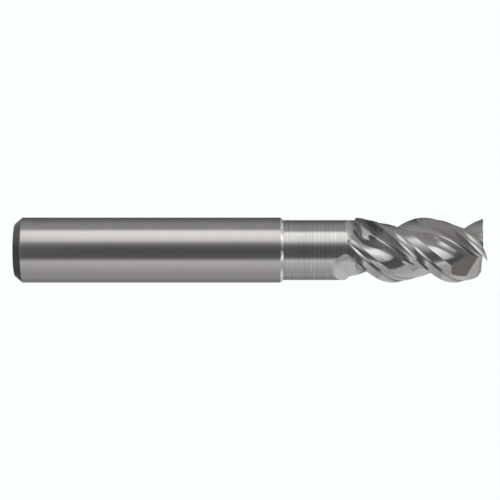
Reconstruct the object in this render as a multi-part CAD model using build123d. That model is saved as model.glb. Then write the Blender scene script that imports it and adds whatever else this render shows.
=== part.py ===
from build123d import *
import os
from math import atan2, cos, degrees, exp, hypot, pi, radians, sin, tan

# A three-flute end mill for aluminium: a carbide cutting head brazed into a plain round shank.
#
# Frame, in millimetres: the tool lies along +X with its tip at the +X end, and +Z is up. The origin is
# the centre of the shank's flat rear face. Angles round the axis run from +Y towards +Z, which is the
# way a right-hand tool turns, so each tooth's cutting edge is on its + side.

# ---- overall sizes ----
OVERALL_LENGTH = 72.0
SHANK_DIAMETER = 10.0
CUTTING_DIAMETER = 10.0
NECK_DIAMETER = 9.2
SHANK_LENGTH = 40.7  # rear face to the end of the full shank diameter
LAND_START = 52.4  # where the teeth reach the full cutting diameter

# ---- shank ends ----
REAR_CHAMFER_LENGTH = 1.15
REAR_CHAMFER_DEPTH = 1.0
STEP_CHAMFER_LENGTH = 0.42  # the chamfer runs down from the shank to the neck

# ---- brazed joint: the head's spigot stands in the shank's socket, inside a film of braze ----
SPIGOT_DIAMETER = 6.0
SPIGOT_LENGTH = 12.0
SPIGOT_CHAMFER = 0.4
BRAZE_FILM = 0.08
SOCKET_POINT_DEPTH = 1.2  # the drill point of the socket, left empty

# ---- teeth ----
HELIX_ANGLE = 45.6
TOOTH_ANGLES = (74.0, 199.0, 324.0)  # at the tip; spaced 125, 125 and 110 degrees, against chatter
RAKE_ANGLE = 12.0
RAKE_PULL = 2.6  # how strongly the rake face runs inwards before it hooks round
FLOOR_PULL = (0.15, 2.56)  # share of the flute's opening, radius
CREASE = (35.0, 3.0)  # where the hook meets the flute's back: degrees ahead of the edge, radius
BACK_CROWNS = (0.25, 0.4, 0.4)  # one per flute: how far the back's middle is pulled outwards
PRIMARY_END = (17.0, 4.67)  # degrees behind the cutting edge, radius
SECONDARY_END = (23.5, 4.39)
CLEARANCE_HUMP = 0.14  # how much the wide clearance behind the two reliefs is crowned
HEELS = ((37.5, 4.03), (46.0, 3.70), (46.0, 3.92))  # one per tooth: degrees behind the edge, radius
HEEL_TAPER = 0.0125  # the heels' radius grows by this much per mm behind the tip

# ---- run-out: the grinding wheels rise out of the work towards the neck ----
FLUTE_ENDS = (54.4, 54.9, 55.7)  # one per flute: where the wheel starts to rise, at the cutting edge
FLOOR_LEAD = 0.4  # the flute's floor starts to rise this much earlier
FLOOR_SHARE = 0.45  # the crease fades as the wheel rises, into a point between floor and back
FADE_RISES = (0.3, 6.0, 6.0)  # one per flute: rise at which the crease has half faded
PULL_FADE = 0.9  # how fast the rake's pull weakens with the rise
RELIEF_END = 51.45
RISE_SLOPE = 0.75
RISE_BLEND = 1.0  # length over which the rise builds up to its slope
RUN_OUT_SKEW = 0.062  # the flute's far side runs out this much earlier per degree
HEEL_SHIFT_GAIN = 5.6  # the heel slides out along the flute's back where the relief has lifted
HEEL_SHIFT_LIMIT = 1.35

# ---- end teeth ----
END_DISH_ANGLE = 2.0
END_PRIMARY_ANGLE = 10.0
END_PRIMARY_WIDTH = 0.8
END_SECONDARY_ANGLE = 27.0
# each is a length, a distance from the axis at its back, and its slope, sideways tilt and skew in degrees
GASH = (5.1, 3.83, 22.0, -10.0, 0.0)
CENTRE_NOTCH = (2.5, 3.85, 47.2, -6.0, 23.0)  # the steeper notch that opens the tip's centre

# ---- worked out from the above ----
HALF = 0.5
SHANK_RADIUS = SHANK_DIAMETER / 2
CUTTING_RADIUS = CUTTING_DIAMETER / 2
NECK_RADIUS = NECK_DIAMETER / 2
SPIGOT_RADIUS = SPIGOT_DIAMETER / 2
LEAD = pi * CUTTING_DIAMETER / tan(radians(HELIX_ANGLE))
SHANK_END = SHANK_LENGTH + STEP_CHAMFER_LENGTH
HEAD_SHOULDER = SHANK_END + BRAZE_FILM
SOCKET_RADIUS = SPIGOT_RADIUS + BRAZE_FILM
SPIGOT_END = HEAD_SHOULDER - SPIGOT_LENGTH
SOCKET_FLOOR = SPIGOT_END - BRAZE_FILM
END_DISH = CUTTING_RADIUS * tan(radians(END_DISH_ANGLE))

# ---- extents of the tooth form, which is cut to length and outline afterwards ----
FORM_BACK = 46.5
PLAIN_NECK_END = 47.0
FINE_END = 55.0
FINE_STEPS = 17
FORM_FRONT = OVERALL_LENGTH + 2.0
COARSE_STEPS = 13
BLANK_MARGIN = 0.3  # the blank stands this far outside the cutting edges
CLEAR = 8.0  # well outside the tool


def polar(angle, radius):
    """A point of a cross-section, in degrees ahead of a tooth's cutting edge and distance from the axis."""
    return (radius * cos(radians(angle)), radius * sin(radians(angle)))


def turned_plane(x, tooth_angle):
    """The cross-section plane at x, its own x axis pointing out through the tooth's cutting edge."""
    turned = radians(tooth_angle - 360 * (OVERALL_LENGTH - x) / LEAD)
    return Plane(origin=(x, 0, 0), x_dir=(0, cos(turned), sin(turned)), z_dir=(1, 0, 0))


def wheel_rise(distance):
    """How far a wheel has risen, at a distance behind the place where it starts to."""
    if distance <= 0:
        return 0.0
    return RISE_SLOPE * distance**2 / (distance + RISE_BLEND)


def between(first, second, share):
    """The point at a share of the way from the first point to the second."""
    return tuple(a + share * (b - a) for a, b in zip(first, second))


def pushed_out(point, distance):
    """A point moved outwards from the axis."""
    scale = 1 + distance / hypot(*point)
    return (point[0] * scale, point[1] * scale)


def flute_wall(x, i, opening, heel_radius):
    """The hooked wall of one flute and its back, as two curves, and the heel where the back ends."""
    plane = turned_plane(x, TOOTH_ANGLES[i])
    flute_end = FLUTE_ENDS[i]

    def rise_at(angle, lead=0.0):
        return wheel_rise(flute_end + lead - x - RUN_OUT_SKEW * angle)

    edge = polar(0, CUTTING_RADIUS + wheel_rise(RELIEF_END - x))
    pull = RAKE_PULL / (1 + PULL_FADE * wheel_rise(flute_end - x))
    rake_pull = (edge[0] - pull * cos(radians(RAKE_ANGLE)), -pull * sin(radians(RAKE_ANGLE)))
    floor_angle = FLOOR_PULL[0] * opening
    floor_pull = polar(floor_angle, FLOOR_PULL[1] + rise_at(floor_angle, FLOOR_LEAD))

    # the heel lies on the flute's back, and slides outwards along it where only the relief has risen
    crease_start = polar(*CREASE)
    heel_start = polar(opening, heel_radius + HEEL_TAPER * (OVERALL_LENGTH - x))
    back_length = hypot(heel_start[0] - crease_start[0], heel_start[1] - crease_start[1])
    relief_rise = wheel_rise(RELIEF_END - x)
    flute_rise = rise_at(opening)
    excess = max(relief_rise - flute_rise, 0)
    shift = HEEL_SHIFT_LIMIT * (1 - exp(-HEEL_SHIFT_GAIN * excess / HEEL_SHIFT_LIMIT))
    heel_y, heel_z = between(crease_start, heel_start, 1 + shift / back_length)
    heel_angle = degrees(atan2(heel_z, heel_y))
    heel = polar(heel_angle, hypot(heel_y, heel_z) + min(flute_rise, relief_rise))

    middle = between(crease_start, heel_start, HALF)
    middle_angle = degrees(atan2(middle[1], middle[0]))
    back_pull = pushed_out(middle, rise_at(middle_angle, FLOOR_LEAD * HALF) + BACK_CROWNS[i])
    crease_rise = rise_at(CREASE[0])
    sharp_crease = pushed_out(crease_start, crease_rise)
    faded_crease = between(back_pull, floor_pull, FLOOR_SHARE)
    crease = between(sharp_crease, faded_crease, crease_rise / (crease_rise + FADE_RISES[i]))

    hook = [plane.from_local_coords(p) for p in (edge, rake_pull, floor_pull, crease)]
    rear = [plane.from_local_coords(p) for p in (crease, back_pull, heel)]
    return Edge.make_bezier(*hook), Edge.make_bezier(*rear), heel_angle, hypot(*heel)


def tooth_back(x, tooth_angle, heel_behind, heel_radius):
    """The three faces behind one cutting edge, from its heel forwards: a crowned one and two flat lands."""
    plane = turned_plane(x, tooth_angle)
    rise = wheel_rise(RELIEF_END - x)
    heel = polar(-heel_behind, heel_radius)
    secondary_end = polar(-SECONDARY_END[0], SECONDARY_END[1] + rise)
    primary_end = polar(-PRIMARY_END[0], PRIMARY_END[1] + rise)
    edge = polar(0, CUTTING_RADIUS + rise)
    crown = pushed_out(between(heel, secondary_end, HALF), CLEARANCE_HUMP)
    start, pull, first, second, last = [
        plane.from_local_coords(p) for p in (heel, crown, secondary_end, primary_end, edge)
    ]
    return [Edge.make_bezier(start, pull, first), Edge.make_line(first, second), Edge.make_line(second, last)]


def tooth_section(x):
    """The whole outline of the three teeth at x."""
    edges = []
    for i, angle in enumerate(TOOTH_ANGLES):
        following = (i + 1) % len(TOOTH_ANGLES)
        ahead = TOOTH_ANGLES[following]
        spacing = (ahead - angle) % 360
        heel_behind, heel_radius = HEELS[following]
        hook, rear, heel_angle, risen_heel_radius = flute_wall(x, i, spacing - heel_behind, heel_radius)
        edges += [hook, rear]
        edges += tooth_back(x, ahead, spacing - heel_angle, risen_heel_radius)
    return Wire(edges)


def tooth_form():
    """The teeth as one long twisted body, reaching past the tip and, at the back, outside the neck."""
    fine = [FORM_BACK + (FINE_END - FORM_BACK) * i / FINE_STEPS for i in range(FINE_STEPS)]
    coarse = [FINE_END + (FORM_FRONT - FINE_END) * i / COARSE_STEPS for i in range(COARSE_STEPS + 1)]
    return Solid.make_loft([tooth_section(x) for x in fine + coarse])


def end_relief(tooth_angle):
    """The space behind one end-cutting edge: a narrow primary slope, then a steeper secondary one."""
    tip = turned_plane(OVERALL_LENGTH, tooth_angle)
    outward = tip.x_dir * cos(radians(END_DISH_ANGLE)) + tip.z_dir * sin(radians(END_DISH_ANGLE))
    centre = Vector(OVERALL_LENGTH - END_DISH, 0, 0)
    profile_plane = Plane(origin=centre, x_dir=tip.y_dir * -1, z_dir=outward)
    ahead = END_PRIMARY_WIDTH
    primary_drop = END_PRIMARY_WIDTH * tan(radians(END_PRIMARY_ANGLE))
    secondary_drop = primary_drop + (CLEAR - END_PRIMARY_WIDTH) * tan(radians(END_SECONDARY_ANGLE))
    profile = Polyline(
        (-ahead, -primary_drop),
        (END_PRIMARY_WIDTH, primary_drop),
        (CLEAR, secondary_drop),
        (CLEAR, -CLEAR),
        (-ahead, -CLEAR),
        close=True,
    )
    return extrude(profile_plane * make_face(profile), amount=CLEAR)


def end_gash(tooth_angle, length, back_depth, slope, tilt, skew):
    """One notch in front of an end-cutting edge: its floor slopes towards the tip and leans sideways."""
    tip = turned_plane(OVERALL_LENGTH, tooth_angle)
    leaning = turned_plane(OVERALL_LENGTH, tooth_angle - tilt)
    run = leaning.y_dir - tip.z_dir * tan(radians(skew))
    back = OVERALL_LENGTH - length
    front = FORM_FRONT + CLEAR * tan(radians(skew))
    fall = (front - back) * tan(radians(slope)) / cos(radians(tilt))
    profile = Polyline(
        (back, back_depth),
        (front, back_depth - fall),
        (front, CLEAR),
        (back - (CLEAR - back_depth), CLEAR),
        close=True,
    )
    profile_plane = Plane(origin=(0, 0, 0), x_dir=(1, 0, 0), z_dir=tip.y_dir)
    return extrude(profile_plane * make_face(profile), amount=CLEAR, dir=run)


def turned(*points):
    """A turned solid, from points given as distance along the tool and radius."""
    return revolve(make_face(Polyline(*points, close=True)), axis=Axis.X)


def make_shank():
    """The plain shank, with a socket for the head's spigot."""
    return turned(
        (0, 0),
        (0, SHANK_RADIUS - REAR_CHAMFER_DEPTH),
        (REAR_CHAMFER_LENGTH, SHANK_RADIUS),
        (SHANK_LENGTH, SHANK_RADIUS),
        (SHANK_END, NECK_RADIUS),
        (SHANK_END, SOCKET_RADIUS),
        (SOCKET_FLOOR, SOCKET_RADIUS),
        (SOCKET_FLOOR - SOCKET_POINT_DEPTH, 0),
    )


def make_braze_film():
    """The braze: a cup round the spigot, with a rim between the shank's face and the head's shoulder."""
    return turned(
        (SOCKET_FLOOR, 0),
        (SOCKET_FLOOR, SOCKET_RADIUS),
        (SHANK_END, SOCKET_RADIUS),
        (SHANK_END, NECK_RADIUS),
        (HEAD_SHOULDER, NECK_RADIUS),
        (HEAD_SHOULDER, SPIGOT_RADIUS),
        (SPIGOT_END + SPIGOT_CHAMFER, SPIGOT_RADIUS),
        (SPIGOT_END, SPIGOT_RADIUS - SPIGOT_CHAMFER),
        (SPIGOT_END, 0),
    )


def make_cutting_head():
    """The head: a turned blank, its front part ground to the tooth form, with the end teeth cut in."""
    rear = turned(
        (SPIGOT_END, 0),
        (SPIGOT_END, SPIGOT_RADIUS - SPIGOT_CHAMFER),
        (SPIGOT_END + SPIGOT_CHAMFER, SPIGOT_RADIUS),
        (HEAD_SHOULDER, SPIGOT_RADIUS),
        (HEAD_SHOULDER, NECK_RADIUS),
        (PLAIN_NECK_END, NECK_RADIUS),
        (PLAIN_NECK_END, 0),
    )
    blank_radius = CUTTING_RADIUS + BLANK_MARGIN
    cone_front = LAND_START + BLANK_MARGIN
    blank = turned(
        (PLAIN_NECK_END, 0),
        (PLAIN_NECK_END, NECK_RADIUS),
        (cone_front - (blank_radius - NECK_RADIUS), NECK_RADIUS),
        (cone_front, blank_radius),
        (OVERALL_LENGTH, blank_radius),
        (OVERALL_LENGTH, CUTTING_RADIUS),
        (OVERALL_LENGTH - END_DISH, 0),
    )
    front = blank & tooth_form()
    for angle in TOOTH_ANGLES:
        front -= end_gash(angle, *GASH)
        front -= end_gash(angle, *CENTRE_NOTCH)
    for angle in TOOTH_ANGLES:
        front -= end_relief(angle)
    return rear + front


os.makedirs("parts", exist_ok=True)
export_step(make_shank(), "parts/shank.step")
export_step(make_braze_film(), "parts/braze_film.step")
export_step(make_cutting_head(), "parts/cutting_head.step")
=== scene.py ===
import math

import bmesh
import bpy
import numpy as np
from mathutils import Matrix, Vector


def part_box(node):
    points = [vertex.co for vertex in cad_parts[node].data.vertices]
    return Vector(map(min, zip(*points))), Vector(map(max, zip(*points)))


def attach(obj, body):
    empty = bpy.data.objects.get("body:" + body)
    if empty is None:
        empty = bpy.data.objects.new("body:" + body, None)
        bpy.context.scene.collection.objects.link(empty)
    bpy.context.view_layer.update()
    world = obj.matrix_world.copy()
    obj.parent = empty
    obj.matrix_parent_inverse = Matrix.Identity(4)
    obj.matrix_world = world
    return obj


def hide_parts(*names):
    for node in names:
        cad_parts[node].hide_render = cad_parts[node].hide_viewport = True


# A three-flute end mill lying along +X, with its tip at the +X end. The pieces are built in millimetres,
# from the same formulas as the CAD model but with finer meshes, and then scaled to metres.

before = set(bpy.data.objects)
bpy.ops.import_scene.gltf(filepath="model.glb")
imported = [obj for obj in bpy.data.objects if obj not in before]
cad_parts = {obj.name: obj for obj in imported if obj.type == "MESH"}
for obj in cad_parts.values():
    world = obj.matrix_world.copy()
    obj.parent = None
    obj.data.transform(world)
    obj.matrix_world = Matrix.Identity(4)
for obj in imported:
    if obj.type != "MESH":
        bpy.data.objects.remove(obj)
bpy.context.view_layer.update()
MM = 0.001

# ---- sizes read off the frame, in millimetres ----
HEAD_LOW, HEAD_HIGH = [[c / MM for c in corner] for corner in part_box("cutting_head")]
SHANK_HIGH = [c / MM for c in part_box("shank")[1]]
OVERALL_LENGTH = HEAD_HIGH[0]
RADIUS = SHANK_HIGH[2]  # of the shank and of the cutting edges
SHANK_END = SHANK_HIGH[0]
SPIGOT_END = HEAD_LOW[0]

# ---- shank, neck and brazed joint ----
NECK_RADIUS = 4.6
REAR_CHAMFER_LENGTH = 1.15
REAR_CHAMFER_DEPTH = 1.0
STEP_CHAMFER_LENGTH = 0.42
EDGE_ROUNDING = 0.06
REAR_EDGE_ROUNDING = 0.25
SPIGOT_RADIUS = 3.0
SPIGOT_CHAMFER = 0.4
FILM = 0.08
SOCKET_POINT_DEPTH = 1.2
SHOULDER = SHANK_END + FILM
SOCKET_RADIUS = SPIGOT_RADIUS + FILM

# ---- teeth ----
HELIX_ANGLE = 45.6
LEAD = 2 * math.pi * RADIUS / math.tan(math.radians(HELIX_ANGLE))
TOOTH_ANGLES = (74.0, 199.0, 324.0)  # at the tip
RAKE_ANGLE = 12.0
RAKE_PULL = 2.6
FLOOR_PULL = (0.15, 2.56)  # share of the flute's opening, radius
CREASE = (35.0, 3.0)  # degrees ahead of the edge, radius
BACK_CROWNS = (0.25, 0.4, 0.4)  # one per flute
PRIMARY_END = (17.0, 4.67)  # degrees behind the edge, radius
SECONDARY_END = (23.5, 4.39)
CLEARANCE_HUMP = 0.14
HEELS = ((37.5, 4.03), (46.0, 3.70), (46.0, 3.92))  # one per tooth: degrees behind the edge, radius
HEEL_TAPER = 0.0125

# ---- run-out: the grinding wheels rise out of the work towards the neck ----
LAND_START = 52.4
FLUTE_ENDS = (54.4, 54.9, 55.7)  # one per flute
FLOOR_LEAD = 0.4
FLOOR_SHARE = 0.45
FADE_RISES = (0.3, 6.0, 6.0)  # one per flute
PULL_FADE = 0.9
RELIEF_END = 51.45
RISE_SLOPE = 0.75
RISE_BLEND = 1.0
RUN_OUT_SKEW = 0.062
HEEL_SHIFT_GAIN = 5.6
HEEL_SHIFT_LIMIT = 1.35

# ---- end teeth ----
END_DISH_ANGLE = 2.0
END_PRIMARY_ANGLE = 10.0
END_PRIMARY_WIDTH = 0.8
END_SECONDARY_ANGLE = 27.0
RELIEF_LIFT = 0.004  # keeps the relief cuts off the very point where the dish ends
RELIEF_OVERLAP = 0.031  # the relief cuts start this far behind the axis
# each is a length, a distance from the axis at its back, and its slope, sideways tilt and skew in degrees
GASH = (5.1, 3.83, 22.0, -10.0, 0.0)
CENTRE_NOTCH = (2.5, 3.85, 47.2, -6.0, 23.0)

# ---- how the cutting head is cut out ----
BLANK_MARGIN = 0.3
FORM_REAR = 28.0  # behind the spigot's end
FORM_BACK = 46.5
FINE_END = 55.0
FORM_FRONT = OVERALL_LENGTH + 1.01
FINE_SPACING = 0.08
COARSE_SPACING = 0.1
CLEAR = 8.0  # well outside the tool
BEYOND_TIP = OVERALL_LENGTH + 2.0

# ---- points along each stretch of a tooth's outline, and facets round each turned piece ----
HOOK_POINTS = 30
BACK_POINTS = 30
CLEARANCE_POINTS = 12
SECONDARY_POINTS = 6
PRIMARY_POINTS = 5
FACETS = 360
ROUNDING_STEPS = 5
HEAD_SHARP_ANGLE = 10.0
TURNED_SHARP_ANGLE = 12.0


# ------------------------------------------------------------------------------ outline of the teeth
def polar(angle, radius):
    """A point in a tooth's own section, in degrees ahead of its cutting edge and distance from the axis."""
    return np.array([radius * math.cos(math.radians(angle)), radius * math.sin(math.radians(angle))])


def angle_of(point):
    return math.degrees(math.atan2(point[1], point[0]))


def wheel_rise(distance):
    """How far a wheel has risen, at a distance behind the place where it starts to."""
    if distance <= 0:
        return 0.0
    return RISE_SLOPE * distance * distance / (distance + RISE_BLEND)


def bezier(controls, count):
    """Points along a Bezier curve, without its last one."""
    t = np.linspace(0, 1, count, endpoint=False)[:, None]
    degree = len(controls) - 1
    return sum(math.comb(degree, i) * t**i * (1 - t) ** (degree - i) * p for i, p in enumerate(controls))


def placed(points, x, tooth_angle):
    """Points of a tooth's own section as y and z at x along the tool."""
    turned = math.radians(tooth_angle - 360 * (OVERALL_LENGTH - x) / LEAD)
    c, s = math.cos(turned), math.sin(turned)
    return np.stack([points[..., 0] * c - points[..., 1] * s, points[..., 0] * s + points[..., 1] * c], -1)


def flute_wall(x, i, opening, heel_radius):
    """The hooked wall of one flute and its crowned back, and the heel where the back ends."""
    flute_end = FLUTE_ENDS[i]

    def risen(angle, radius, lead=0.0):
        return polar(angle, radius + wheel_rise(flute_end + lead - x - RUN_OUT_SKEW * angle))

    relief_rise = wheel_rise(RELIEF_END - x)
    edge = polar(0, RADIUS + relief_rise)
    pull = RAKE_PULL / (1 + PULL_FADE * wheel_rise(flute_end - x))
    rake_pull = edge - pull * polar(RAKE_ANGLE, 1.0)
    floor_pull = risen(FLOOR_PULL[0] * opening, FLOOR_PULL[1], FLOOR_LEAD)

    # the heel lies on the flute's back, and slides outwards along it where only the relief has risen
    crease_start = polar(*CREASE)
    heel_start = polar(opening, heel_radius + HEEL_TAPER * (OVERALL_LENGTH - x))
    along_back = (heel_start - crease_start) / np.linalg.norm(heel_start - crease_start)
    flute_rise = wheel_rise(flute_end - x - RUN_OUT_SKEW * opening)
    excess = max(relief_rise - flute_rise, 0)
    shift = HEEL_SHIFT_LIMIT * (1 - math.exp(-HEEL_SHIFT_GAIN * excess / HEEL_SHIFT_LIMIT))
    slid = heel_start + shift * along_back
    heel_angle = angle_of(slid)
    heel = polar(heel_angle, np.linalg.norm(slid) + min(flute_rise, relief_rise))

    middle = (crease_start + heel_start) / 2
    back_pull = risen(angle_of(middle), np.linalg.norm(middle) + BACK_CROWNS[i], FLOOR_LEAD / 2)
    sharp_crease = risen(*CREASE)
    faded_crease = FLOOR_SHARE * floor_pull + (1 - FLOOR_SHARE) * back_pull
    crease_rise = wheel_rise(flute_end - x - RUN_OUT_SKEW * CREASE[0])
    crease = sharp_crease + (faded_crease - sharp_crease) * crease_rise / (crease_rise + FADE_RISES[i])

    hook = bezier([edge, rake_pull, floor_pull, crease], HOOK_POINTS)
    back = bezier([crease, back_pull, heel], BACK_POINTS)
    return np.concatenate([hook, back]), heel_angle, np.linalg.norm(heel)


def tooth_back(x, heel_behind, heel_radius):
    """What lies behind one cutting edge, from its heel forwards: a crowned clearance and two flat lands."""
    rise = wheel_rise(RELIEF_END - x)
    heel = polar(-heel_behind, heel_radius)
    secondary_end = polar(-SECONDARY_END[0], SECONDARY_END[1] + rise)
    primary_end = polar(-PRIMARY_END[0], PRIMARY_END[1] + rise)
    edge = polar(0, RADIUS + rise)
    middle = (heel + secondary_end) / 2
    crown = middle * (1 + CLEARANCE_HUMP / np.linalg.norm(middle))
    clearance = bezier([heel, crown, secondary_end], CLEARANCE_POINTS)
    secondary = bezier([secondary_end, primary_end], SECONDARY_POINTS)
    primary = bezier([primary_end, edge], PRIMARY_POINTS)
    return np.concatenate([clearance, secondary, primary])


def tooth_section(x):
    """The whole outline of the three teeth at x."""
    stretches = []
    for i, angle in enumerate(TOOTH_ANGLES):
        following = (i + 1) % len(TOOTH_ANGLES)
        ahead = TOOTH_ANGLES[following]
        spacing = (ahead - angle) % 360
        heel_behind, heel_radius = HEELS[following]
        wall, heel_angle, risen_heel_radius = flute_wall(x, i, spacing - heel_behind, heel_radius)
        stretches.append(placed(wall, x, angle))
        stretches.append(placed(tooth_back(x, spacing - heel_angle, risen_heel_radius), x, ahead))
    return np.concatenate(stretches)


# ------------------------------------------------------------------------------------- mesh helpers
def new_object(name, vertices, faces, materials=(), face_materials=None):
    """A mesh object whose faces all look outwards."""
    mesh = bpy.data.meshes.new(name)
    mesh.from_pydata([tuple(v) for v in vertices], [], faces)
    mesh.validate()
    for material in materials:
        mesh.materials.append(material)
    if face_materials is not None:
        mesh.polygons.foreach_set("material_index", face_materials)
    mesh.update()
    edit = bmesh.new()
    edit.from_mesh(mesh)
    bmesh.ops.recalc_face_normals(edit, faces=edit.faces)
    edit.to_mesh(mesh)
    edit.free()
    made = bpy.data.objects.new(name, mesh)
    bpy.context.scene.collection.objects.link(made)
    return made


def lathe(name, profile, materials, stretch_materials=None):
    """A closed turned body, from (x, radius) points that start and end on the axis."""
    vertices = []
    rings = []
    for x, radius in profile:
        count = 1 if radius == 0 else FACETS
        rings.append(list(range(len(vertices), len(vertices) + count)))
        for k in range(count):
            angle = 2 * math.pi * k / FACETS
            vertices.append((x, radius * math.cos(angle), radius * math.sin(angle)))
    faces = []
    face_materials = []
    for j, (rear, front) in enumerate(zip(rings, rings[1:])):
        for k in range(FACETS):
            after = (k + 1) % FACETS
            if len(rear) == 1:
                faces.append((rear[0], front[after], front[k]))
            elif len(front) == 1:
                faces.append((rear[k], rear[after], front[0]))
            else:
                faces.append((rear[k], rear[after], front[after], front[k]))
            face_materials.append(stretch_materials[j] if stretch_materials else 0)
    return new_object(name, vertices, faces, materials, face_materials)


def rounded(points):
    """A profile with its corners rounded, from (x, radius, rounding) points."""
    out = []
    for i, (x, radius, rounding) in enumerate(points):
        if rounding == 0:
            out.append((x, radius))
            continue
        before, corner, after = (np.array(p[:2], float) for p in points[i - 1 : i + 2])
        u = (before - corner) / np.linalg.norm(before - corner)
        v = (after - corner) / np.linalg.norm(after - corner)
        half = math.acos(u @ v) / 2
        reach = rounding / math.tan(half)
        centre = corner + (u + v) / np.linalg.norm(u + v) * rounding / math.sin(half)
        start = angle_of(corner + u * reach - centre)
        turn = (angle_of(corner + v * reach - centre) - start + 180) % 360 - 180
        for k in range(ROUNDING_STEPS + 1):
            out.append(tuple(centre + polar(start + turn * k / ROUNDING_STEPS, rounding)))
    return out


def prism(profile, origin, ex, ey, run, start, material):
    """A prism: profile points in the plane of ex and ey, pushed along run from start to CLEAR."""
    origin, ex, ey, run = (np.array(v, float) for v in (origin, ex, ey, run))
    vertices = [origin + ex * a + ey * b + run * z for z in (start, CLEAR) for a, b in profile]
    n = len(profile)
    faces = [tuple(range(n))[::-1], tuple(range(n, 2 * n))]
    faces += [(k, (k + 1) % n, n + (k + 1) % n, n + k) for k in range(n)]
    return new_object("cutter", vertices, faces, [material])


def combine(target, tool, operation):
    """A boolean of two objects, which uses up the tool."""
    modifier = target.modifiers.new("cut", "BOOLEAN")
    modifier.operation = operation
    modifier.solver = "MANIFOLD"
    modifier.object = tool
    modifier.material_mode = "TRANSFER"
    evaluated = target.evaluated_get(bpy.context.evaluated_depsgraph_get())
    result = bpy.data.meshes.new_from_object(evaluated)
    target.modifiers.clear()
    used = [target.data, tool.data]
    target.data = result
    bpy.data.objects.remove(tool)
    for mesh in used:
        bpy.data.meshes.remove(mesh)


def smooth(made, sharp_angle):
    made.data.shade_smooth()
    made.data.set_sharp_from_angle(angle=math.radians(sharp_angle))


# ---------------------------------------------------------------------------------------- materials
class Nodes:
    """Short ways to add nodes to one node tree."""

    def __init__(self, tree):
        tree.nodes.clear()
        self.tree = tree

    def new(self, kind, **properties):
        node = self.tree.nodes.new(kind)
        for key, value in properties.items():
            setattr(node, key, value)
        return node

    def put(self, socket, value):
        if isinstance(value, bpy.types.NodeSocket):
            self.tree.links.new(value, socket)
        else:
            socket.default_value = value

    def math(self, operation, *values, clamp=False):
        node = self.new("ShaderNodeMath", operation=operation, use_clamp=clamp)
        for socket, value in zip(node.inputs, values):
            self.put(socket, value)
        return node.outputs[0]

    def ramp(self, factor, stops):
        node = self.new("ShaderNodeValToRGB")
        elements = node.color_ramp.elements
        elements.remove(elements[-1])
        for i, (position, level) in enumerate(stops):
            element = elements.new(position) if i else elements[0]
            element.position = position
            element.color = (level, level, level, 1)
        self.put(node.inputs[0], factor)
        return node.outputs[0]

    def mix(self, factor, first, second, blend="MIX"):
        node = self.new("ShaderNodeMix", data_type="RGBA", blend_type=blend)
        colours = [socket for socket in node.inputs if socket.type == "RGBA"]
        self.put(node.inputs[0], factor)
        self.put(colours[0], first)
        self.put(colours[1], second)
        return next(socket for socket in node.outputs if socket.type == "RGBA")

    def noise(self, vector, scale, detail, roughness):
        node = self.new("ShaderNodeTexNoise")
        self.put(node.inputs["Vector"], vector)
        self.put(node.inputs["Scale"], scale)
        self.put(node.inputs["Detail"], detail)
        self.put(node.inputs["Roughness"], roughness)
        return node.outputs["Fac"]

    def vector(self, x, y, z):
        node = self.new("ShaderNodeCombineXYZ")
        for socket, value in zip(node.inputs, (x, y, z)):
            self.put(socket, value)
        return node.outputs[0]

    def split(self, vector):
        node = self.new("ShaderNodeSeparateXYZ")
        self.put(node.inputs[0], vector)
        return node.outputs


MARK_STRETCH = {"round": 0.10, "helix": 0.15, "flat": 0.3}  # noise scale along the grinding marks, per mm
MARK_DETAIL = 3.0
MARK_ROUGHNESS = 0.6
CLOUD_SCALE = 0.9  # broad, faint unevenness under the marks
CLOUD_DETAIL = 2.0
CLOUD_ROUGHNESS = 0.5
CLOUD_CONTRAST = 0.06
SHINE_CHANGE = 0.12  # how much the marks change the roughness
MARK_HEIGHT = 0.01 * MM

# a darker patch on the upper side of the flutes near the neck, placed where the photograph is dark
# painted shade: these darken the flutes' colour in that patch, standing in for shade; the metal there is not
# stained
PAINTED_SHADE_BOTTOM = 1.3
PAINTED_SHADE_BOTTOM_FADE = 1.2
PAINTED_SHADE_REAR = 51.4
PAINTED_SHADE_FRONT = 57.0
PAINTED_SHADE_FRONT_FADE = 2.0
PAINTED_SHADE_COLOUR = (0.42, 0.41, 0.40, 1)


def mark_vector(nodes, marks, scale, x, y, z):
    """Noise coordinates drawn out along the grinding marks, which run round the axis, in a helix or flat."""
    along = MARK_STRETCH[marks]
    if marks == "round":
        scales = (scale, along, along)
    else:
        scales = (along, scale, scale)
    if marks == "helix":
        unwound = nodes.new("ShaderNodeVectorRotate", rotation_type="X_AXIS")
        nodes.put(unwound.inputs["Vector"], nodes.vector(x, y, z))
        nodes.put(unwound.inputs["Angle"], nodes.math("MULTIPLY", x, -2 * math.pi / LEAD))
        x, y, z = nodes.split(unwound.outputs[0])
    return nodes.vector(*(nodes.math("MULTIPLY", c, s) for c, s in zip((x, y, z), scales)))


def varied(nodes, noise, amount, base):
    """A base value, raised and lowered by a noise."""
    centred = nodes.math("SUBTRACT", noise, 0.5)
    return nodes.math("ADD", nodes.math("MULTIPLY", centred, amount), base)


def painted_shade_share(nodes, x, z):
    """How much of the painted shade shows, from 0 to 1."""
    above = nodes.math("DIVIDE", nodes.math("SUBTRACT", z, PAINTED_SHADE_BOTTOM), PAINTED_SHADE_BOTTOM_FADE, clamp=True)
    behind = nodes.math("DIVIDE", nodes.math("SUBTRACT", PAINTED_SHADE_FRONT, x), PAINTED_SHADE_FRONT_FADE, clamp=True)
    ahead = nodes.math("SUBTRACT", x, PAINTED_SHADE_REAR, clamp=True)
    return nodes.math("MULTIPLY", nodes.math("MULTIPLY", above, behind), ahead)


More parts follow.
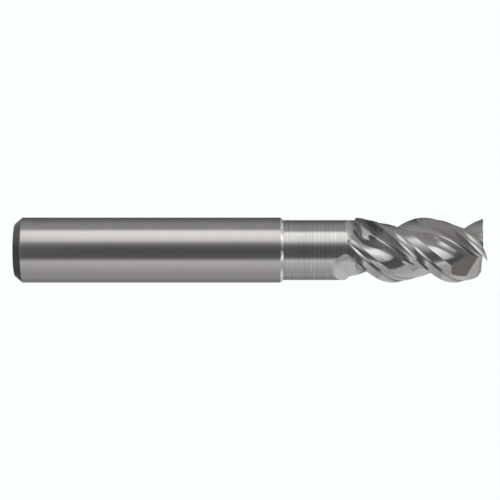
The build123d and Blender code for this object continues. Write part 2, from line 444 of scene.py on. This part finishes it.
def metal(name, colour, roughness, marks, contrast, scale, bump, with_painted_shade=False):
    """Ground metal with procedural grinding marks."""
    material = bpy.data.materials.new(name)
    material.use_nodes = True
    nodes = Nodes(material.node_tree)
    output = nodes.new("ShaderNodeOutputMaterial")
    surface = nodes.new("ShaderNodeBsdfPrincipled")
    nodes.put(output.inputs[0], surface.outputs[0])
    position = nodes.new("ShaderNodeTexCoord").outputs["Object"]
    x, y, z = (nodes.math("MULTIPLY", c, 1 / MM) for c in nodes.split(position))
    fine = nodes.noise(mark_vector(nodes, marks, scale, x, y, z), 1.0, MARK_DETAIL, MARK_ROUGHNESS)
    cloud = nodes.noise(nodes.vector(x, y, z), CLOUD_SCALE, CLOUD_DETAIL, CLOUD_ROUGHNESS)
    tint = varied(nodes, cloud, CLOUD_CONTRAST, varied(nodes, fine, contrast, 1.0))
    shade = nodes.mix(1.0, (*colour, 1), nodes.vector(tint, tint, tint), blend="MULTIPLY")
    # painted shade: the colour is darkened in the patch on the upper side of the flutes near the neck
    if with_painted_shade:
        shade = nodes.mix(painted_shade_share(nodes, x, z), shade, PAINTED_SHADE_COLOUR)
    bumped = nodes.new("ShaderNodeBump")
    nodes.put(bumped.inputs["Strength"], bump)
    nodes.put(bumped.inputs["Distance"], MARK_HEIGHT)
    nodes.put(bumped.inputs["Height"], fine)
    nodes.put(surface.inputs["Base Color"], shade)
    nodes.put(surface.inputs["Metallic"], 1.0)
    nodes.put(surface.inputs["Roughness"], varied(nodes, fine, SHINE_CHANGE, roughness))
    nodes.put(surface.inputs["Normal"], bumped.outputs[0])
    return material


STEEL = (0.81, 0.78, 0.765)
CARBIDE = (0.80, 0.78, 0.77)
# name, colour, roughness, how the marks run, their contrast, how many lie in a mm, and how deep they look
SHANK_GROUND = metal("shank_ground", STEEL, 0.16, "round", 0.05, 9.0, 0.25)
# painted shade: the rear chamfer and rear end are ground steel, given a much darker colour than the shank to
# darken what they mirror
REAR_CHAMFER_PAINTED_SHADE = metal("shank_rear_chamfer_painted_shade", (0.36, 0.355, 0.35), 0.3, "round", 0.08, 9.0, 0.25)
# painted highlight: the step chamfer is smoother than the shank, and is also given a brighter colour to
# strengthen its highlight
STEP_CHAMFER_PAINTED_HIGHLIGHT = metal("shank_step_chamfer_painted_highlight", (0.97, 0.96, 0.94), 0.06, "round", 0.05, 9.0, 0.1)
# painted light: the neck is the same carbide, given a lighter colour to brighten its reflections
NECK_GROUND_PAINTED_LIGHT = metal("neck_ground_painted_light", (0.86, 0.84, 0.82), 0.12, "round", 0.70, 6.0, 0.6)
# the polished flutes carry the painted shade patch near the neck
FLUTE_POLISHED = metal("flute_polished", CARBIDE, 0.02, "helix", 0.06, 6.0, 0.08, with_painted_shade=True)
RELIEF_GROUND = metal("relief_ground", CARBIDE, 0.10, "helix", 0.12, 9.0, 0.3)
# painted shade: the gashes, end reliefs and end faces are the same carbide, given a much darker colour
GASH_PAINTED_SHADE = metal("gash_ground_painted_shade", (0.33, 0.31, 0.29), 0.22, "flat", 0.06, 6.0, 0.15)
# painted shade: the centre notches are the same carbide, given a darker colour
NOTCH_PAINTED_SHADE = metal("notch_ground_painted_shade", (0.62, 0.60, 0.58), 0.25, "flat", 0.06, 6.0, 0.15)
# painted shade: a dark line painted along the edge between the secondary and primary lands; there is no
# groove there
LAND_EDGE_PAINTED_SHADE = metal("land_edge_painted_shade", (0.40, 0.39, 0.38), 0.3, "helix", 0.04, 6.0, 0.1)
BRAZE_GROUND = metal("braze_ground", (0.70, 0.66, 0.58), 0.25, "round", 0.1, 8.0, 0.3)

SHANK_MATERIALS = [SHANK_GROUND, REAR_CHAMFER_PAINTED_SHADE, STEP_CHAMFER_PAINTED_HIGHLIGHT]
HEAD_MATERIALS = [NECK_GROUND_PAINTED_LIGHT, FLUTE_POLISHED, RELIEF_GROUND, GASH_PAINTED_SHADE, LAND_EDGE_PAINTED_SHADE]
NECK, FLUTE, RELIEF, GASHED, LAND_EDGE_SHADE = range(len(HEAD_MATERIALS))


# ------------------------------------------------------------------------------------ cutting head
def make_head_blank():
    """The spigot, the neck and the blank that the teeth are cut from, with the end face dished."""
    blank_radius = RADIUS + BLANK_MARGIN
    cone_front = LAND_START + BLANK_MARGIN
    end_dish = RADIUS * math.tan(math.radians(END_DISH_ANGLE))
    profile = [
        (SPIGOT_END, 0),
        (SPIGOT_END, SPIGOT_RADIUS - SPIGOT_CHAMFER),
        (SPIGOT_END + SPIGOT_CHAMFER, SPIGOT_RADIUS),
        (SHOULDER, SPIGOT_RADIUS),
        (SHOULDER, NECK_RADIUS),
        (cone_front - (blank_radius - NECK_RADIUS), NECK_RADIUS),
        (cone_front, blank_radius),
        (OVERALL_LENGTH, blank_radius),
        (OVERALL_LENGTH, RADIUS),
        (OVERALL_LENGTH - end_dish, 0),
    ]
    stretch_materials = [NECK] * 6 + [RELIEF] * 2 + [GASHED]
    return lathe("cutting_head_visual", profile, HEAD_MATERIALS, stretch_materials)


def make_tooth_form():
    """The teeth as one long twisted body, reaching past the tip and, behind, outside the neck."""
    fine = np.arange(FORM_BACK, FINE_END, FINE_SPACING)
    coarse = np.arange(FINE_END, FORM_FRONT, COARSE_SPACING)
    stations = np.concatenate([fine, coarse])
    sections = [tooth_section(x) for x in stations]
    n = len(sections[0])
    vertices = []
    for x, section in zip([FORM_REAR, *stations], [sections[0], *sections]):
        vertices += [(x, y, z) for y, z in section]
    wall_and_back = [FLUTE] * (HOOK_POINTS + BACK_POINTS)
    clearance = [RELIEF] * (CLEARANCE_POINTS + SECONDARY_POINTS - 1)
    # the last strip of each secondary land, next to the primary land, gets the painted dark line
    round_one_tooth = wall_and_back + clearance + [LAND_EDGE_SHADE] + [RELIEF] * PRIMARY_POINTS
    faces = []
    face_materials = []
    for j in range(len(stations)):
        for k in range(n):
            after = (k + 1) % n
            faces.append((j * n + k, (j + 1) * n + k, (j + 1) * n + after, j * n + after))
        face_materials += round_one_tooth * len(TOOTH_ANGLES)
    last = len(stations) * n
    faces += [tuple(range(n)), tuple(range(last, last + n))[::-1]]
    face_materials += [NECK, GASHED]
    return new_object("tooth_form", vertices, faces, HEAD_MATERIALS, face_materials)


def radial(angle):
    return np.array((0, math.cos(math.radians(angle)), math.sin(math.radians(angle))))


def sideways(angle):
    return radial(angle + 90)


def make_end_gash(tooth_angle, length, back_depth, slope, tilt, skew, material):
    """The space of one notch: its floor slopes towards the tip, leans sideways and may run askew."""
    askew = math.tan(math.radians(skew))
    run = sideways(tooth_angle - tilt) - askew * np.array((1, 0, 0))
    back = OVERALL_LENGTH - length
    front = BEYOND_TIP + CLEAR * askew
    fall = (front - back) * math.tan(math.radians(slope)) / math.cos(math.radians(tilt))
    profile = [
        (back, back_depth),
        (front, back_depth - fall),
        (front, CLEAR),
        (back - (CLEAR - back_depth), CLEAR),
    ]
    return prism(profile, (0, 0, 0), (1, 0, 0), radial(tooth_angle), run, 0.0, material)


def make_end_relief(tooth_angle):
    """The space behind one end-cutting edge: a narrow primary slope, then a steeper secondary one."""
    dish = math.radians(END_DISH_ANGLE)
    ahead = sideways(tooth_angle)
    outward = radial(tooth_angle) * math.cos(dish) + np.array((math.sin(dish), 0, 0))
    forward = np.cross(outward, -ahead)
    width = END_PRIMARY_WIDTH
    drop = width * math.tan(math.radians(END_PRIMARY_ANGLE))
    deep_drop = drop + (CLEAR - width) * math.tan(math.radians(END_SECONDARY_ANGLE))
    profile = [(-width, -drop), (width, drop), (CLEAR, deep_drop), (CLEAR, -CLEAR), (-width, -CLEAR)]
    centre = (OVERALL_LENGTH - RADIUS * math.tan(dish) + RELIEF_LIFT, 0, 0)
    # painted shade: the end reliefs share the gashes' darkened colour
    return prism(profile, centre, -ahead, forward, outward, -RELIEF_OVERLAP, GASH_PAINTED_SHADE)


def make_cutting_head():
    """The blank, cut down to the teeth, then gashed, notched and relieved at the end."""
    head = make_head_blank()
    combine(head, make_tooth_form(), "INTERSECT")
    for angle in TOOTH_ANGLES:
        combine(head, make_end_gash(angle, *GASH, GASH_PAINTED_SHADE), "DIFFERENCE")
        combine(head, make_end_gash(angle, *CENTRE_NOTCH, NOTCH_PAINTED_SHADE), "DIFFERENCE")
    for angle in TOOTH_ANGLES:
        combine(head, make_end_relief(angle), "DIFFERENCE")
    smooth(head, HEAD_SHARP_ANGLE)
    return head


# -------------------------------------------------------------------------------- shank and braze
END_LEAN = 0.3  # faces whose normals lean further along the axis belong to the ends and their chamfers


def make_shank():
    """The shank, with a socket for the spigot in its front end."""
    profile = rounded(
        [
            (0, 0, 0),
            (0, RADIUS - REAR_CHAMFER_DEPTH, EDGE_ROUNDING),
            (REAR_CHAMFER_LENGTH, RADIUS, REAR_EDGE_ROUNDING),
            (SHANK_END - STEP_CHAMFER_LENGTH, RADIUS, EDGE_ROUNDING),
            (SHANK_END, NECK_RADIUS, 0),
            (SHANK_END, SOCKET_RADIUS, 0),
            (SPIGOT_END - FILM, SOCKET_RADIUS, 0),
            (SPIGOT_END - FILM - SOCKET_POINT_DEPTH, 0, 0),
        ]
    )
    shank = lathe("shank_visual", profile, SHANK_MATERIALS)
    for face in shank.data.polygons:
        outside_neck = math.hypot(face.center.y, face.center.z) > NECK_RADIUS
        if face.normal.x < -END_LEAN:
            face.material_index = SHANK_MATERIALS.index(REAR_CHAMFER_PAINTED_SHADE)
        elif face.normal.x > END_LEAN and outside_neck:
            face.material_index = SHANK_MATERIALS.index(STEP_CHAMFER_PAINTED_HIGHLIGHT)
    smooth(shank, TURNED_SHARP_ANGLE)
    return shank


def make_braze_film():
    """The braze: a cup round the spigot, with a rim between the shank's face and the head's shoulder."""
    profile = [
        (SPIGOT_END - FILM, 0),
        (SPIGOT_END - FILM, SOCKET_RADIUS),
        (SHANK_END, SOCKET_RADIUS),
        (SHANK_END, NECK_RADIUS),
        (SHOULDER, NECK_RADIUS),
        (SHOULDER, SPIGOT_RADIUS),
        (SPIGOT_END + SPIGOT_CHAMFER, SPIGOT_RADIUS),
        (SPIGOT_END, SPIGOT_RADIUS - SPIGOT_CHAMFER),
        (SPIGOT_END, 0),
    ]
    film = lathe("braze_film_visual", profile, [BRAZE_GROUND])
    smooth(film, TURNED_SHARP_ANGLE)
    return film


for piece, node, slot in (
    (make_cutting_head(), "cutting_head", "carbide"),
    (make_shank(), "shank", "shank_steel"),
    (make_braze_film(), "braze_film", "braze"),
):
    piece.data.transform(Matrix.Scale(MM, 4))
    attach(piece, "root")
    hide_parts(node)

# ------------------------------------------------------------------------------------------ studio
FLOOR_HALF = 3.0
FLOOR_HEIGHT = -0.06
FLOOR_COLOUR = (0.935, 0.97, 0.97, 1)
FLOOR_ROUGHNESS = 0.9
BACKGROUND_COLOUR = (0.965, 1.0, 1.0, 1)
FILL_COLOUR = (1.1, 1.1, 1.1, 1)
STEEL_REFLECTANCE = 0.785  # about the mean of STEEL; the panels are brightened to make up for it

# What the tool reflects: light and dark panels that run along it, which only mirrored rays see. A stop is an
# angle round the tool, from the camera's side (0) over the top (90), and the grey that polished steel shows
# there, out of 255. The greys began as averages read off the photograph, sorted by the direction mirrored
# there, and were then adjusted one by one. So this is light fitted to one picture, and not a plain studio.
BANDS = [
    (-172, 150), (-158, 112), (-134, 117), (-105, 141), (-94, 132), (-80, 144), (-66, 153), (-54, 160),
    (-42, 172), (-38, 156), (-35, 128), (-31, 102), (-25, 76), (0, 69), (12, 78), (19, 98), (23, 116),
    (27, 138), (30, 164), (34, 183), (38, 195), (45, 204), (53, 210), (65, 219), (70, 212), (74, 172),
    (79, 134), (83, 127), (104, 120), (132, 90), (154, 76),
]
# Those panels hold straight across the tool, between BANDS_END_LEFT and BANDS_END_RIGHT. Further round they
# change: degrees turned towards the tip, or less than 0 towards the shank's end, then the panels seen there.
BANDS_END_LEFT = -9
LEFT = [
    (-22, [(-180, 100), (-120, 95), (-80, 90), (-55, 104), (-15, 106), (5, 122), (60, 132), (97, 137),
           (140, 125)]),
    (-50, [(-180, 90), (-110, 82), (-88, 80), (-70, 98), (-15, 104), (5, 120), (40, 132), (90, 136),
           (100, 125), (120, 112), (180, 100)]),
    (-66, [(-180, 88), (-110, 92), (-60, 100), (-30, 100), (0, 122), (60, 128), (90, 112), (180, 95)]),
    (-84, [(-180, 60), (0, 62), (180, 62)]),
]
# the stops from below to the front that several of the panels towards the tip share
LOWER_FRONT = [
    (-85, 140), (-60, 150), (-45, 156), (-37, 165), (-33, 188), (-28, 150), (-23, 112), (-17, 84), (-5, 74),
    (8, 80),
]
BANDS_END_RIGHT = 8
RIGHT = [
    (17, [(-180, 176), (-130, 174), (-100, 170), *LOWER_FRONT, (14, 92), (19, 130), (25, 155), (38, 170),
          (48, 190), (58, 216), (70, 216), (77, 180), (84, 140), (92, 122), (110, 122), (140, 120)]),
    (23, [(-180, 170), (-130, 172), (-100, 172), *LOWER_FRONT, (14, 92), (19, 125), (25, 145), (38, 160),
          (48, 184), (58, 200), (70, 196), (78, 150), (86, 118), (92, 116), (120, 120), (150, 124)]),
    (28, [(-180, 172), (-130, 172), (-100, 168), *LOWER_FRONT, (14, 90), (19, 105), (38, 120), (58, 124),
          (72, 122), (90, 128), (120, 138), (150, 140)]),
    (31, [(-180, 172), (-130, 172), (-100, 168), *LOWER_FRONT, (14, 90), (19, 102), (38, 112), (58, 118),
          (72, 122), (90, 128), (120, 138), (150, 140)]),
    (34, [(-180, 180), (-120, 180), (-75, 156), (-50, 154), (-44, 140), (-39, 85), (-34, 74), (0, 72),
          (5, 80), (10, 140), (19, 168), (30, 190), (42, 208), (56, 218), (68, 220), (76, 190), (83, 150),
          (92, 138), (120, 140), (150, 160)]),
    (42, [(-180, 182), (-120, 182), (-75, 156), (-50, 154), (-44, 140), (-39, 85), (-34, 74), (0, 72),
          (5, 85), (10, 165), (20, 188), (35, 206), (55, 238), (70, 232), (80, 185), (92, 166), (120, 166),
          (150, 170)]),
    (56, [(-180, 130), (-80, 135), (-50, 115), (-30, 95), (-12, 74), (42, 74), (52, 120), (90, 190),
          (120, 170), (180, 130)]),
    (66, [(-180, 150), (-40, 150), (-20, 140), (-8, 76), (46, 74), (80, 190), (95, 250), (125, 250),
          (150, 160), (180, 150)]),
    (80, [(-180, 150), (-110, 150), (-100, 235), (-85, 235), (-75, 140), (-20, 140), (-8, 76), (46, 74),
          (90, 150), (180, 150)]),
]


def linear(grey):
    """The linear light of a displayed grey out of 255."""
    share = grey / 255
    return share / 12.92 if share <= 0.04045 else ((share + 0.055) / 1.055) ** 2.4


def make_floor():
    directions = ((-1, -1), (1, -1), (1, 1), (-1, 1))
    corners = [(x * FLOOR_HALF, y * FLOOR_HALF, FLOOR_HEIGHT) for x, y in directions]
    material = bpy.data.materials.new("floor_pale")
    material.use_nodes = True
    surface = material.node_tree.nodes["Principled BSDF"]
    surface.inputs["Base Color"].default_value = FLOOR_COLOUR
    surface.inputs["Roughness"].default_value = FLOOR_ROUGHNESS
    floor = new_object("floor", corners, [(0, 1, 2, 3)], [material])
    floor.visible_glossy = False


def make_studio():
    """The surroundings: plain for the camera, even fill light, and panels where the tool mirrors them."""
    world = bpy.data.worlds.new("studio")
    bpy.context.scene.world = world
    world.use_nodes = True
    nodes = Nodes(world.node_tree)
    output = nodes.new("ShaderNodeOutputWorld")
    background = nodes.new("ShaderNodeBackground")
    nodes.put(output.inputs[0], background.outputs[0])
    dx, dy, dz = nodes.split(nodes.new("ShaderNodeTexCoord").outputs["Generated"])
    around = nodes.math("ARCTAN2", dz, nodes.math("MULTIPLY", dy, -1.0))
    around = nodes.math("ADD", nodes.math("MULTIPLY", around, 1 / (2 * math.pi)), 0.5)
    along = nodes.math("DEGREES", nodes.math("ARCSINE", dx))

    def panels(stops):
        levels = [((angle + 180) / 360, linear(grey) / STEEL_REFLECTANCE) for angle, grey in stops]
        return nodes.ramp(around, levels)

    mirrored = panels(BANDS)
    for reached, columns in ((BANDS_END_LEFT, LEFT), (BANDS_END_RIGHT, RIGHT)):
        for turned, stops in columns:
            share = nodes.math("DIVIDE", nodes.math("SUBTRACT", along, reached), turned - reached, clamp=True)
            mirrored = nodes.mix(share, mirrored, panels(stops))
            reached = turned
    ray = nodes.new("ShaderNodeLightPath").outputs
    seen = nodes.mix(ray["Is Glossy Ray"], BACKGROUND_COLOUR, mirrored)
    nodes.put(background.inputs[0], nodes.mix(ray["Is Diffuse Ray"], seen, FILL_COLOUR))
    bpy.context.scene.view_settings.view_transform = "Standard"
    bpy.context.scene.view_settings.look = "None"


# -------------------------------------------------------------------------------------------- camera
CAMERA_DISTANCE = 340
HALF_WIDTH_IN_VIEW = 38.375  # at the tool's axis
CAMERA_X = 36.057
CAMERA_HEIGHT = 0.015
SENSOR_WIDTH = 36


def make_camera():
    """A level camera that looks square at the side of the tool."""
    data = bpy.data.cameras.new("camera")
    data.sensor_width = SENSOR_WIDTH
    data.lens = SENSOR_WIDTH * CAMERA_DISTANCE / (2 * HALF_WIDTH_IN_VIEW)
    data.clip_start = 0.01
    camera = bpy.data.objects.new("camera", data)
    camera.location = (CAMERA_X * MM, -CAMERA_DISTANCE * MM, CAMERA_HEIGHT * MM)
    camera.rotation_euler = (math.radians(90), 0, 0)
    bpy.context.scene.collection.objects.link(camera)
    bpy.context.scene.camera = camera


make_floor()
make_studio()
make_camera()
